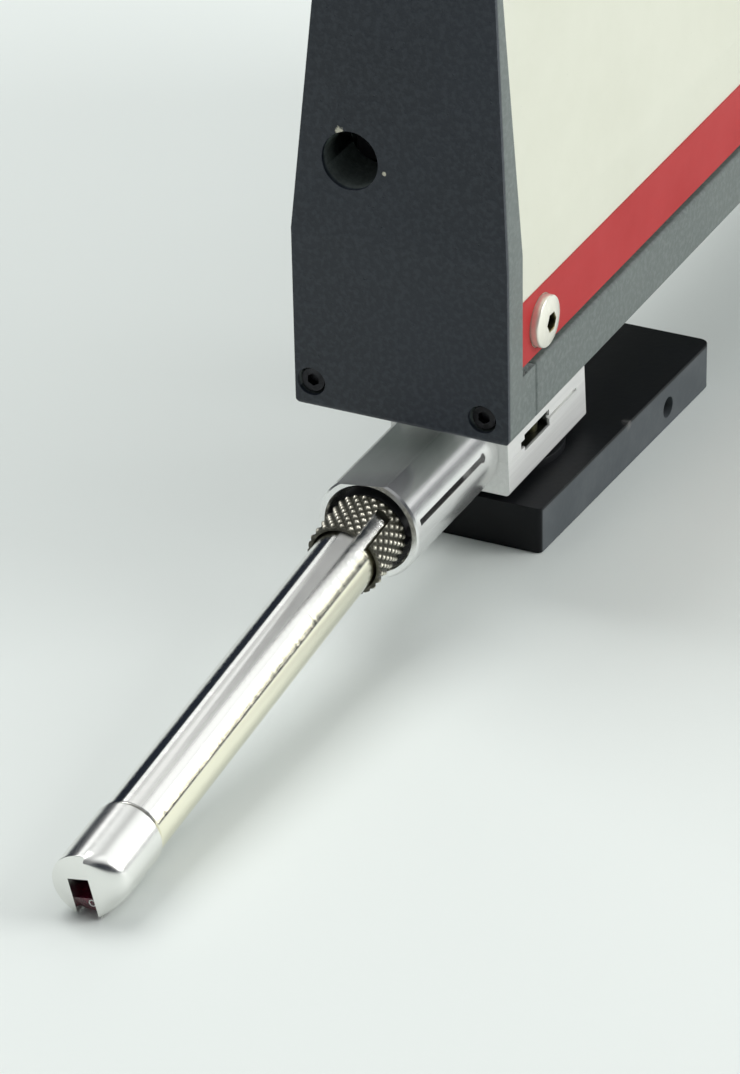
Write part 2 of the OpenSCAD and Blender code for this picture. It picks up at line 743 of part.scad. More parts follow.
module lead_nut() {
  color([0.78, 0.62, 0.3]) difference() {
    box([nut_x[0], -4, carriage_z[1]], [nut_x[1], 4, screw_z + 4]);
    bar_x(screw_r + run_gap, nut_x[0] - over, nut_x[1] + over, 0, screw_z);
  }
}
module detent_ball() {
  color([0.85, 0.85, 0.86]) translate([ball_ring, 0, z0 - ball_drop + ball_r]) sphere(r = ball_r);
}
module detent_spring() {
  color([0.7, 0.7, 0.72]) bar_z(ball_r - 0.05, z0 - ball_drop + 2 * ball_r, z0 + 4, ball_ring, 0);
}
module lead_screw() {
  color([0.7, 0.71, 0.72]) {
    bar_x(screw_r, front_bracket_x[0], drive_bracket_x[1], 0, screw_z);
  }
}
// Spur gear outline with n teeth, turned by a
function gear_pts(n, a) = [
  for (i = [0:n - 1], k = [[-0.25, -1.2], [-0.12, 0.8], [0.12, 0.8], [0.25, -1.2]])
    let (r = gear_m * (n / 2 + k[1]), f = a + (i + k[0]) * 360 / n)
    [r * cos(f), r * sin(f)]
];
module drive_gear() {
  color([0.85, 0.83, 0.78]) difference() {
    translate([gear_x[0], 0, screw_z]) yz(gear_pts(gear_teeth, 90), 0, gear_x[1] - gear_x[0]);
    bar_x(screw_r, gear_x[0] - over, gear_x[1] + over, 0, screw_z);
  }
}
module motor_pinion() {
  color([0.78, 0.62, 0.3]) {
    translate([gear_x[0], 0, motor_z])
      yz(gear_pts(pinion_teeth, -90 + 180 / pinion_teeth), 0, gear_x[1] - gear_x[0]);
    bar_x(shaft_r, gear_x[0], drive_bracket_x[1] + shaft_in, 0, motor_z);
  }
}

module swivel_block() {
  section = [
    [-block_low_y, block_z0], [block_low_y, block_z0], [block_top_y, block_z1], [-block_top_y, block_z1]
  ];
  color([0.84, 0.84, 0.84]) difference() {
    yz(rounded(section, [0.5, 0.5, 0.5, 0.5]), -block_x, block_x);
    bar_x(spigot_r, -block_x - over, -spigot_x, 0, barrel_z);
    bar_z(post_r + run_gap, post_z0 - slide_gap, block_z1 + over, 0, 0);
    bar_z(pivot_head_r + slide_gap, block_z0 - over, pivot_sink_z, 0, 0);
    bar_z(pivot_shank_r + 0.1, block_z0 - over, block_z1, 0, 0);
    // Saw slit, its window and the score line behind it
    box([-block_x - over, -block_low_y - over, slit_z - 0.45], [0.6, -4.2, slit_z + 0.45]);
    box([-6, -block_low_y - over, slit_z - 1], [0.6, clamp_at[1] + 0.6, slit_z + 1]);
    box([0.5, -block_low_y - over, slit_z - 0.2], [8, -6.7, slit_z + 0.2]);
    bar_z(clamp_r, block_z0 + 0.6, block_z1 - 2.8, clamp_at[0], clamp_at[1]);
    // Detent dimples at the four stations
    for (a = [0:90:270])
      translate([ball_ring * cos(a), ball_ring * sin(a), z0 - ball_drop + ball_r]) sphere(r = ball_r + 0.1);
  }
}
module clamp_screw() {
  color([0.74, 0.6, 0.32]) bar_z(clamp_r, block_z0 + 0.6, block_z1 - 2.8, clamp_at[0], clamp_at[1]);
}
// Flat on a bar along X: h above the axis, turned by a toward +Y
module flat_cut(h, a, xa, xb) {
  translate([0, 0, barrel_z]) rotate([-a, 0, 0]) box([xa, -10, h], [xb, 10, h + 10]);
}
module probe_barrel() {
  color([0.82, 0.82, 0.83]) difference() {
    union() {
      bar_x(barrel_r, -barrel_rim, -block_x, 0, barrel_z);
      bar_x(spigot_r, -block_x - 0.1, -spigot_x, 0, barrel_z);
    }
    bar_x(barrel_bore_r, -barrel_rim - over, -barrel_end, 0, barrel_z);
    flat_cut(barrel_flat, 8, -barrel_rim - over, -block_x);
    flat_cut(barrel_low, 180, -barrel_rim - over, -block_x);
    // Lengthways slits, each ending in a round relief hole
    for (a = barrel_slits)
      translate([0, 0, barrel_z]) rotate([a, 0, 0]) {
        box([-barrel_rim + 1, -0.35, 4.4], [-14.1, 0.35, barrel_r + 1]);
        translate([-14.1, 0, 4.4]) cylinder(r = 0.55, h = barrel_r);
      }
    bar_y(trunnion_r + 0.05, -barrel_r + 0.4, barrel_r - 0.4, pivot_x, barrel_z);
  }
}

// Frame of the tilted probe: z forward along it, x up, y to the far side
module tilted() {
  translate([pivot_x, 0, barrel_z]) rotate([0, -90 - tilt, 0]) children();
}
module probe() {
  tilted() rotate([0, 0, probe_roll]) children();
}
module rod_s(r, sa, sb) {
  translate([0, 0, sa]) cylinder(r = r, h = sb - sa);
}
module tilt_cradle() {
  color([0.2, 0.2, 0.22]) tilted() difference() {
    union() {
      rod_s(sleeve_r, sleeve_s[0], sleeve_s[1]);
      rod_s(cradle_tail_r, cradle_tail_s, sleeve_s[0] + 0.1);
      translate([0, barrel_r - 0.5, 0]) rotate([90, 0, 0]) cylinder(r = trunnion_r, h = 2 * barrel_r - 1);
    }
    rod_s(plug_r + run_gap, plug_s - slide_gap, sleeve_s[1] + over);
    rotate([0, 0, probe_roll]) contact_pair(pin_r + 0.25, cradle_tail_s - over, plug_s);
  }
}
module contact_pair(r, sa, sb) {
  for (s = [-1, 1]) translate([0, s * pin_y, 0]) rod_s(r, sa, sb);
}
module socket_contacts() {
  color([0.85, 0.68, 0.3]) probe() difference() {
    contact_pair(pin_r + 0.25, cradle_tail_s, plug_s - slide_gap);
    contact_pair(pin_r + 0.05, cradle_tail_s - over, plug_s);
  }
}
module probe_plug() {
  color([0.3, 0.3, 0.32]) probe() {
    rod_s(plug_r, plug_s, collar_s[0] + 0.1);
    contact_pair(pin_r, plug_s - 2.4, plug_s + 0.1);
  }
}
module probe_collar() {
  color([0.62, 0.62, 0.6]) probe() difference() {
    rod_s(collar_r, collar_s[0], collar_s[1]);
    rod_s(collar_bore_r, collar_s[0] + collar_floor, collar_s[1] + over);
    rod_s(plug_r, collar_s[0] - over, collar_s[0] + 0.1);
    rotate([0, 0, -collar_slot_a])
      box([collar_bore_r - 1, -collar_slot_w / 2, collar_s[0] + collar_floor],
        [collar_r + 1, collar_slot_w / 2, collar_s[1] + over]);
    // Scalloped front rim
    for (i = [0:17])
      rotate([0, 0, i * 20]) translate([collar_r + 0.1, 0, collar_s[1] - 0.5]) cylinder(r = 0.3, h = 1);
  }
}
module probe_tube() {
  color([0.88, 0.88, 0.88]) probe() difference() {
    rod_s(tube_r, collar_s[0] + collar_floor, nose_s);
    rod_s(tube_r - tube_wall, collar_s[0] + collar_floor - over, nose_s + over);
  }
}
module probe_nose() {
  tip = nose_s + nose_l;
  color([0.88, 0.88, 0.87]) probe() difference() {
    union() {
      rotate_extrude()
        polygon([[0, nose_s], [nose_r - 0.6, nose_s], [nose_r, nose_s + 0.6], [nose_r, tip], [0, tip]]);
      rod_s(tube_r - tube_wall, nose_s - 3, nose_s + 0.1);
    }
    // Far side set back, near side rounded toward its outer edge, and the stylus slot
    box([-nose_r - 1, slot_u[0], nose_s + nose_flat], [nose_r + 1, nose_r + 1, tip + 1]);
    difference() {
      box([-nose_r - 1, -nose_r - 1, tip - nose_round], [nose_r + 1, slot_u[0], tip + 1]);
      translate([-nose_r - 2, slot_u[0], tip - nose_round]) rotate([0, 90, 0])
        cylinder(r = nose_round, h = 2 * nose_r + 4);
    }
    box([-nose_r - 1, slot_u[0], nose_s + nose_flat - slot_d], [slot_w, slot_u[1], tip + 1]);
    translate([stylus_pivot[1], 3, stylus_pivot[0]]) rotate([90, 0, 0])
      cylinder(r = stylus_pin_r + run_gap, h = 4.6);
  }
}
module probe_skid() {
  color([0.3, 0.06, 0.1]) probe() difference() {
    intersection() {
      rod_s(skid_r, nose_s + nose_flat - slot_d, skid_s);
      box([-nose_r, slot_u[0], nose_s + nose_flat - slot_d], [-1.7, slot_u[1], skid_s]);
    }
    // Hole for the stylus tip and the arch below its front
    translate([-nose_r - 1, stylus_u, stylus_pivot[0] + stylus_l]) rotate([0, 90, 0])
      cylinder(r = 0.6, h = 4);
    translate([-nose_r, stylus_u, skid_s - 1.6]) cylinder(r = 0.7, h = 3);
  }
}
module pickup() {
  color([0.5, 0.42, 0.3]) probe() rod_s(2.2, nose_s - 13, nose_s - 3);
}
module stylus_arm() {
  color([0.75, 0.75, 0.76]) probe() {
    box([stylus_pivot[1] - 0.3, stylus_u - 0.45, stylus_pivot[0] - 0.5],
      [stylus_pivot[1] + 0.3, stylus_u + 0.45, stylus_pivot[0] + stylus_l + 0.6]);
    translate([stylus_pivot[1], slot_u[1] + 0.9, stylus_pivot[0]]) rotate([90, 0, 0])
      cylinder(r = stylus_pin_r, h = slot_u[1] - slot_u[0] + 1.4);
  }
}
module stylus_tip() {
  color([0.9, 0.9, 0.92]) probe()
    translate([stylus_pivot[1] - 0.3, stylus_u, stylus_pivot[0] + stylus_l]) rotate([0, -90, 0])
      cylinder(r1 = 0.28, r2 = 0.06, h = 2.6);
}

housing();
end_plate();
rear_plate();
face_panel();
red_strip();
panel_screws();
end_screws();
rear_screws();
foot_bracket();
bracket_screws();
set_screw();
rear_foot();
rear_foot_screws();
front_bracket();
drive_bracket();
guide_rods();
motor();
limit_switch();
main_board();
board_screws();
board_parts();
display_module();
display_window();
output_jack();
battery();
battery_contacts();
door_pin();
battery_door();
run_button();
power_button();
unit_switch();
carriage();
pivot_post();
pivot_screw();
lead_nut();
detent_ball();
detent_spring();
lead_screw();
drive_gear();
motor_pinion();
swivel_block();
probe_barrel();
clamp_screw();
tilt_cradle();
socket_contacts();
probe_collar();
probe_tube();
probe_nose();
probe_skid();
probe_plug();
pickup();
stylus_arm();
stylus_tip();
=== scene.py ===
"""Pocket surface roughness gauge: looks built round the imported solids. Metres, Z up."""

import json
import math

import bmesh
import bpy
from mathutils import Matrix, Vector


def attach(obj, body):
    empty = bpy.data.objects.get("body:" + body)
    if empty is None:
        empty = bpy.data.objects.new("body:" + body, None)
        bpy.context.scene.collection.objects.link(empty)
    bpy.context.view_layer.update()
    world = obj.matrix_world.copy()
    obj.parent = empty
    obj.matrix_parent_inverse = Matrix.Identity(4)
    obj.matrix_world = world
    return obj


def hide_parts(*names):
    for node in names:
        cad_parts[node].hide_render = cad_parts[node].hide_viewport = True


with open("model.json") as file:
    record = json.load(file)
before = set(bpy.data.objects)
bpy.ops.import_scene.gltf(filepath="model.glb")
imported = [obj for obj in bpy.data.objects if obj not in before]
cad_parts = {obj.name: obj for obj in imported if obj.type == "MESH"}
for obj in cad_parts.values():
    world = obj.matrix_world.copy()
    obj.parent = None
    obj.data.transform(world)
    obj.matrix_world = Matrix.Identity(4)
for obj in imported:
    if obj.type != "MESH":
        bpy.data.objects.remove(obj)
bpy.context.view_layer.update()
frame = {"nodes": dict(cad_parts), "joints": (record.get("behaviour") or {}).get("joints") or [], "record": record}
nodes = frame["nodes"]
joints = {joint["name"]: joint for joint in frame["joints"]}
bodies = frame["record"]["behaviour"]["bodies"]
body_of = {node: body for body, held in bodies.items() for node in held}
MM = 0.001
QUARTER = math.radians(90.0)
OVER = 1  # how far a cutter reaches past what it cuts, in millimetres


# Shader maths

class Wire:
    """One shader value; Python operators on it add Math nodes to its finish."""

    def __init__(self, finish, socket):
        self.finish, self.socket = finish, socket

    def math(self, operation, *others):
        sockets = dict(enumerate((self, *others)))
        return self.finish.add("ShaderNodeMath", {"operation": operation}, sockets)

    def __add__(self, other):
        return self.math("ADD", other)

    __radd__ = __add__

    def __mul__(self, other):
        return self.math("MULTIPLY", other)

    __rmul__ = __mul__

    def __sub__(self, other):
        return self.math("SUBTRACT", other)

    def __rsub__(self, other):
        settings = {"operation": "SUBTRACT"}
        return self.finish.add("ShaderNodeMath", settings, {0: other, 1: self})

    def __truediv__(self, other):
        return self.math("DIVIDE", other)

    def __abs__(self):
        return self.math("ABSOLUTE")

    def rise(self, low, high):
        """0 below low, 1 above high, with a soft step between; low may lie above high."""
        sockets = {0: self, 1: low, 2: high, 3: 0.0, 4: 1.0}
        return self.finish.add("ShaderNodeMapRange", {"interpolation_type": "SMOOTHSTEP"}, sockets)

    def at_least(self, other):
        return self.math("MAXIMUM", other)


def rgba(colour):
    """A typed colour with its alpha; a wire stays as it is."""
    return (*colour, 1.0) if isinstance(colour, tuple) else colour


class Finish:
    """A material, or the world, and its node tree."""

    def __init__(self, name, tree=None):
        if tree is None:
            self.material = bpy.data.materials.new(name)
            self.material.use_nodes = True
            tree = self.material.node_tree
        self.tree = tree
        tree.nodes.clear()

    def add(self, kind, settings=None, sockets=None, out=0):
        """Adds any node: settings first, then the values or links of its sockets."""
        node = self.tree.nodes.new(kind)
        for key, value in (settings or {}).items():
            if key == "stops":
                ramp = node.color_ramp
                while len(ramp.elements) < len(value):
                    ramp.elements.new(0.5)
                for element, (place, colour) in zip(ramp.elements, value):
                    element.position = place
                    element.color = rgba(colour)
            else:
                setattr(node, key, value)
        for key, value in (sockets or {}).items():
            if isinstance(value, Wire):
                self.tree.links.new(value.socket, node.inputs[key])
            elif value is not None:
                node.inputs[key].default_value = value
        return Wire(self, node.outputs[out])

    def place(self):
        """Position in the object's own frame, which is the row frame, in metres."""
        return self.add("ShaderNodeTexCoord", out=3)

    def axes(self, vector):
        node = self.add("ShaderNodeSeparateXYZ", None, {0: vector}).socket.node
        return [Wire(self, node.outputs[i]) for i in range(3)]

    def stretch(self, vector, scale):
        return self.add("ShaderNodeVectorMath", {"operation": "MULTIPLY"}, {0: vector, 1: scale})

    def away(self, vector, point):
        """Distance from a point of the row frame."""
        return self.add("ShaderNodeVectorMath", {"operation": "DISTANCE"}, {0: vector, 1: point}, out=1)

    def noise(self, vector, scale, detail=2.0, rough=0.5):
        sockets = {"Vector": vector, "Scale": scale, "Detail": detail, "Roughness": rough}
        return self.add("ShaderNodeTexNoise", None, sockets)

    def cells(self, vector, scale):
        return self.add("ShaderNodeTexVoronoi", None, {"Vector": vector, "Scale": scale})

    def mix(self, factor, a, b):
        sockets = {0: factor, 6: rgba(a), 7: rgba(b)}
        return self.add("ShaderNodeMix", {"data_type": "RGBA"}, sockets, out=2)

    def bump(self, height, depth, strength=1.0):
        sockets = {"Strength": strength, "Distance": depth, "Height": height}
        return self.add("ShaderNodeBump", None, sockets)

    def close(self, colour, roughness, **sockets):
        """Ends the tree in one principled shader; sockets are named with _ for spaces."""
        values = {"Base Color": rgba(colour), "Roughness": roughness}
        values.update({key.replace("_", " "): value for key, value in sockets.items()})
        self.end("ShaderNodeOutputMaterial", self.add("ShaderNodeBsdfPrincipled", None, values))
        return self.material

    def end(self, kind, shader):
        """Runs a shader into an output node, which has no socket to go on from."""
        node = self.tree.nodes.new(kind)
        self.tree.links.new(shader.socket, node.inputs["Surface"])


# Mesh tools

def placed(name, bm):
    """An object of bm in the scene; bm is used up."""
    mesh = bpy.data.meshes.new(name)
    bm.to_mesh(mesh)
    bm.free()
    made = bpy.data.objects.new(name, mesh)
    bpy.context.scene.collection.objects.link(made)
    return made


def settle(mesh, sharp):
    """Smooth shading with edges kept sharp above an angle in degrees."""
    for polygon in mesh.polygons:
        polygon.use_smooth = True
    mesh.set_sharp_from_angle(angle=math.radians(sharp))


def piece(name, bm, finish, stands_for, sharp=32.0, shown_for=True):
    """Makes an object of bm that rides with a node and, unless it only adds to it, stands for it."""
    made = placed(name, bm)
    settle(made.data, sharp)
    made.data.materials.append(finish)
    made.modifiers.new("even_normals", "WEIGHTED_NORMAL").keep_sharp = True
    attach(made, body_of[stands_for])
    if shown_for:
        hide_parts(stands_for)
    return made


def turned(profile, sides, matrix=None, loop=False):
    """Solid of revolution about local Z from (radius, height) points in millimetres.

    A radius may be a function of the angle; loop joins the last ring to the first."""
    bm = bmesh.new()
    rings = []
    for radius, height in profile:
        if radius == 0:
            rings.append([bm.verts.new((0, 0, height * MM))])
            continue
        ring = []
        for i in range(sides):
            a = 2 * math.pi * i / sides
            r = radius(a) if callable(radius) else radius
            ring.append(bm.verts.new((r * MM * math.cos(a), r * MM * math.sin(a), height * MM)))
        rings.append(ring)
    for low, high in zip(rings, rings[1:] + (rings[:1] if loop else [])):
        for i in range(sides):
            j = (i + 1) % sides
            if len(low) == 1 and len(high) > 1:
                bm.faces.new((low[0], high[j], high[i]))
            elif len(high) == 1 and len(low) > 1:
                bm.faces.new((low[i], low[j], high[0]))
            elif len(low) > 1:
                bm.faces.new((low[i], low[j], high[j], high[i]))
    bmesh.ops.recalc_face_normals(bm, faces=bm.faces)
    if matrix is not None:
        bm.transform(matrix)
    return bm


def rod(radius, low, high, sides, matrix):
    """Round bar along local Z between two heights in millimetres."""
    return turned([(0, low), (radius, low), (radius, high), (0, high)], sides, matrix)


def block(low, high, matrix=None):
    """Box between two corners in millimetres."""
    bm = bmesh.new()
    bmesh.ops.create_cube(bm, size=1.0)
    size = [(b - a) * MM for a, b in zip(low, high)]
    middle = [(a + b) / 2 * MM for a, b in zip(low, high)]
    bm.transform(Matrix.Translation(middle) @ Matrix.Diagonal((*size, 1.0)))
    if matrix is not None:
        bm.transform(matrix)
    return bm


def cut(bm, *cutters):
    """The solid bm less each cutter."""
    return combine(bm, cutters, "DIFFERENCE")


def combine(bm, others, operation):
    """The solid bm joined to, cut by or kept within each of the others, all of which are used up."""
    holder = placed("work", bm)
    helpers = [placed("helper", other) for other in others]
    for helper in helpers:
        step = holder.modifiers.new("step", "BOOLEAN")
        step.operation, step.solver, step.object = operation, "EXACT", helper
    bpy.context.view_layer.update()
    result = bmesh.new()
    result.from_mesh(holder.evaluated_get(bpy.context.evaluated_depsgraph_get()).to_mesh())
    for spare in (holder, *helpers):
        mesh = spare.data
        bpy.data.objects.remove(spare)
        bpy.data.meshes.remove(mesh)
    bmesh.ops.remove_doubles(result, verts=result.verts, dist=CUT_WELD)
    return result


def ease_edges(bm, width, keep=None, clamp=True):
    """Rounds the sharp outward edges, or those of them that keep picks, by width millimetres.

    With clamp, the rounding shrinks where it would overlap another."""
    edges = [
        e for e in bm.edges
        if len(e.link_faces) == 2 and e.is_convex and e.calc_face_angle(0.0) > SHARP
        and (keep is None or all(keep(*(v.co / MM)) for v in e.verts))
    ]
    bmesh.ops.bevel(
        bm, geom=edges, offset=width * MM, segments=EASE_STEPS, profile=0.5, affect="EDGES",
        clamp_overlap=clamp, loop_slide=True,
    )


def solid_of(node):
    """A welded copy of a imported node's mesh."""
    bm = bmesh.new()
    bm.from_mesh(nodes[node].data)
    bmesh.ops.remove_doubles(bm, verts=bm.verts, dist=NODE_WELD)
    return bm


def dressed(node, finish, *easings, filling=None, shade_recess=None):
    """The node's own shape with edges eased; each easing holds what ease_edges takes after bm.

    A filling is joined to it first; shade_recess is a second finish, laid on as painted shade, and a pick of the
    points it covers."""
    bm = solid_of(node)
    if filling is not None:
        bm = combine(bm, [filling], "UNION")
    bmesh.ops.dissolve_limit(bm, angle_limit=FLAT, verts=bm.verts, edges=bm.edges)
    for easing in easings:
        ease_edges(bm, *easing)
    if shade_recess is not None:
        for face in bm.faces:
            face.material_index = int(all(shade_recess[1](*(v.co / MM)) for v in face.verts))
    made = piece("eased_" + node, bm, finish, node)
    if shade_recess is not None:
        made.data.materials.append(shade_recess[0])
    return made


def repaint(finish, *names):
    """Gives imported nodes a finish, in their own shape."""
    for name in names:
        nodes[name].data.materials.clear()
        nodes[name].data.materials.append(finish)


SHARP, FLAT, EASE_STEPS = math.radians(35.0), math.radians(0.5), 3
CUT_WELD, NODE_WELD = 1e-7, 2e-6  # metres within which points are one


# Camera, floor and light

def set_camera():
    """The photograph's viewpoint: a long lens from the front, above the probe."""
    azimuth, elevation, roll = (math.radians(a) for a in (-64.096, 29.130, -0.777))
    focal_px, distance, slide, climb = 6362.571, 687.174, -3.562, -11.881
    image_h, sensor = 1074, 36.0
    back = Vector((
        math.sin(azimuth) * math.cos(elevation), -math.cos(azimuth) * math.cos(elevation),
        math.sin(elevation),
    ))
    right = Vector((math.cos(azimuth), math.sin(azimuth), 0.0))
    up = back.cross(right)
    across = math.cos(roll) * right + math.sin(roll) * up
    upright = -math.sin(roll) * right + math.cos(roll) * up
    aim = Vector((-22.5, 0.0, 19.8))
    place = (aim + slide * right + climb * up + distance * back) * MM
    lens = bpy.data.cameras.new("camera")
    lens.sensor_fit, lens.sensor_width = "AUTO", sensor
    lens.lens = focal_px * sensor / image_h
    lens.clip_start, lens.clip_end = 0.05, 20.0
    camera = bpy.data.objects.new("camera", lens)
    turn = Matrix((across, upright, back)).transposed().to_4x4()
    camera.matrix_world = Matrix.Translation(place) @ turn
    bpy.context.scene.collection.objects.link(camera)
    bpy.context.scene.camera = camera


def set_floor():
    """A pale table, a hair below the feet."""
    half, cells, drop = 1.6, 8, 0.00005
    bm = bmesh.new()
    bmesh.ops.create_grid(bm, x_segments=cells, y_segments=cells, size=half)
    floor = placed("floor", bm)
    floor.location.z = -drop
    table = Finish("pale_table")
    spot = table.place()
    cloud = table.noise(spot, 2.2, 2.0).rise(0.3, 0.7)
    grain = table.noise(spot, 900.0, 3.0)
    shade = table.mix(cloud, FLOOR_COOL, FLOOR_WARM)
    floor.data.materials.append(table.close(shade, 0.62, Normal=table.bump(grain, 0.00003, 0.3)))


def lamp(name, place, size, watts):
    """White panel lamp that looks at the gauge."""
    data = bpy.data.lights.new(name, "AREA")
    data.shape, data.size, data.size_y = "RECTANGLE", *size
    data.energy = watts
    made = bpy.data.objects.new(name, data)
    made.location = place
    made.rotation_mode = "QUATERNION"
    made.rotation_quaternion = (LAMP_AIM - Vector(place)).to_track_quat("-Z", "Y")
    bpy.context.scene.collection.objects.link(made)


def set_light():
    """Strip panels above, running along the object, over a dark horizon, a dim front wall and a stand."""
    world = bpy.data.worlds.new("studio")
    world.use_nodes = True
    bpy.context.scene.world = world
    sky = Finish("studio", world.node_tree)
    view = sky.add("ShaderNodeTexCoord", out=0)
    x, y, z = sky.axes(view)
    stops = [((side + 1) / 2, (level * PANEL_RED, level, level)) for side, level in PANELS]
    panels = sky.add("ShaderNodeValToRGB", {"stops": stops}, {0: (y + 1.0) * 0.5})
    horizon = (z - y.rise(*FAR_WALL) * FAR_WALL_HEIGHT).rise(*HORIZON)
    shade = sky.mix(horizon, panels, DARK_WALL)
    shade = sky.mix(x.rise(*FRONT_WALL) * FRONT_WALL_SHARE, shade, DARK_WALL)
    shade = sky.mix(sky.away(view, STAND).rise(*STAND_EDGE), shade, DARK_WALL)
    sky.end("ShaderNodeOutputWorld", sky.add("ShaderNodeBackground", None, {"Color": shade}))
    for values in LAMPS:
        lamp(*values)
    bpy.context.scene.view_settings.view_transform = "Standard"


FLOOR_COOL, FLOOR_WARM = (0.77, 0.815, 0.785), (0.80, 0.84, 0.81)
DARK_WALL, PANEL_RED = (0.018, 0.022, 0.032), 0.98

# The room by direction: a pair is where a soft step starts and where it is full, and each panel stop is a
# place from the near side to the far side with its level
HORIZON, FAR_WALL, FAR_WALL_HEIGHT = (0.25, 0.17), (0.52, 0.62), 0.36
FRONT_WALL, FRONT_WALL_SHARE = (0.15, -0.6), 0.75
STAND, STAND_EDGE = Vector((-0.506, -0.825, 0.223)), (0.58, 0.46)
PANELS = (
    (-1.0, 0.75), (-0.70, 0.80), (-0.60, 0.88), (-0.54, 1.0), (-0.48, 1.15), (-0.27, 1.12), (-0.17, 0.66),
    (-0.06, 0.66), (0.10, 0.88), (0.28, 0.88), (0.35, 0.50), (0.42, 0.50), (0.48, 1.05), (0.60, 1.0),
    (0.68, 0.55), (1.0, 0.6),
)
LAMP_AIM = Vector((-0.01, 0.0, 0.03))
LAMPS = (
    ("overhead", (0.1, 0.55, 1.0), (0.7, 0.7), 6.2),
    ("label_side", (0.35, -0.9, 0.45), (0.5, 0.7), 5.4),
)


# Frames and places shared by pieces and finishes

def probe_frame():
    """Local Z runs forward along the probe from the tilt pivot, X up and Y to the far side."""
    forward = Vector(joints["probe_pull"]["axis"]).normalized()
    far = Vector((0.0, 1.0, 0.0))
    turn = Matrix((far.cross(forward), far, forward)).transposed().to_4x4()
    return Matrix.Translation(joints["probe_lift"]["pos_m"]) @ turn @ Matrix.Rotation(PROBE_ROLL, 4, "Z")


PROBE_ROLL = math.radians(10.0)
PROBE = probe_frame()
BARREL_Z = 11.5
BARREL = Matrix.Translation(Vector((0.0, 0.0, BARREL_Z)) * MM) @ Matrix.Rotation(QUARTER, 4, "Y")
NOSE_BACK, NOSE_TIP, NOSE_R, TUBE_R = 57.6, 67.89, 3.88, 3.62
NOSE_FLAT, SLOT_BACK, SLOT_NEAR, SLOT_FAR = 67.5, 61.5, -0.74, 1.95
SKID_FRONT, STYLUS_PIVOT = 67.1, 62.1

# Where finishes and painted shade change, in metres; a pair is where a soft step starts and where it is full
FACE_LOW_X, FACE_LOW_Z, FACE_LOW_LEAN = -0.0225, 0.0198, 0.0179
FACE_BEND_X, FACE_BEND_Z, FACE_BEND_LEAN = -0.022885, 0.0413, 0.0734
SHADED_FRONT_SKIN = (0.0008, 0.0003)
CHIPS = ((Vector((-22.0, 7.2, 53.45)) * MM, 0.0005), (Vector((-22.28, 1.85, 49.6)) * MM, 0.00025))
FOOT_SHADE_FROM, REAR_FOOT_SHADE_FROM, FOOT_SHADED_FRONT = (0.0051, 0.0054), (0.0, 0.0003), (-0.0091, -0.0095)
FOOT_RUB, RUB_EDGE, RUB_REACH = Vector((13.0, -11.4, 5.3)) * MM, 0.0012, (0.0016, 0.0004)
SLIT_Y, SLIT_Z, BLOCK_SLOPE = 0.007154, 0.0113, 0.0426
SLIT_DEEP, SLIT_HALF = (0.0001, 0.0004), (0.00112, 0.00106)
SLIT_FRONT, SLIT_BACK = (-0.0095, -0.0090), (0.00075, 0.0007)
WRAP_SPLIT = (0.0930, 0.0932)

# Directions in which the tube's skin faces, with the cosines between which its painted reflections change
TUBE_LIGHTENED_TOP, TUBE_LIGHTENED_TOP_FADE = Vector((-0.113, -0.19, 0.975)), (0.955, 0.985)
TUBE_CREAM_REFLECTION, TUBE_CREAM_REFLECTION_FADE = Vector((0.0, -1.0, 0.0)), (0.72, 0.82)


# Finishes

def cast_paint_and_shade():
    """Stove paint on a casting with fine orange peel, chipped in places; painted shade makes the front face dark
    blue and painted light makes the sides grey.
    """
    paint = Finish("stove_paint_and_shade")
    spot = paint.place()
    x, _, z = paint.axes(spot)
    below = FACE_LOW_X - (z - FACE_LOW_Z) * FACE_LOW_LEAN
    above = (z - FACE_BEND_Z) * FACE_BEND_LEAN + FACE_BEND_X
    # Painted shade: 1 on the front face, which takes the dark blue of shade, 0 on the sides, painted as lit grey
    front = (x - below.at_least(above)).rise(*SHADED_FRONT_SKIN)
    peel = paint.noise(spot, 1500.0, 3.0, 0.55)
    pores = paint.cells(spot, 900.0)
    cloud = paint.noise(spot, 45.0, 4.0).rise(0.3, 0.7)
    # Lit and shaded copies of one paint: grey for the lit sides, dark blue for the shaded front; the flecks split
    # the same way
    grey = paint.mix(cloud, (0.125, 0.148, 0.142), (0.150, 0.174, 0.165))
    shaded_navy = paint.mix(cloud, (0.010, 0.016, 0.026), (0.017, 0.024, 0.037))
    fleck_with_shade = paint.mix(front, (0.22, 0.25, 0.24), (0.045, 0.055, 0.07))
    shade = paint.mix(peel.rise(0.42, 0.66) * 0.5, paint.mix(front, grey, shaded_navy), fleck_with_shade)
    worn = None
    for point, reach in CHIPS:
        edge = paint.noise(spot, 2600.0, 2.0) * (reach * 1.3)
        hit = (paint.away(spot, point) + edge).rise(reach * 1.75, reach * 1.3)
        worn = hit if worn is None else worn.at_least(hit)
    shade = paint.mix(worn, shade, (0.75, 0.72, 0.58))
    height = peel + pores.rise(0.12, 0.0) * -0.6 - worn * 1.5
    rough = 0.40 + peel * 0.12 + cloud * 0.05
    return paint.close(shade, rough, Normal=paint.bump(height, 0.00008, 0.8))


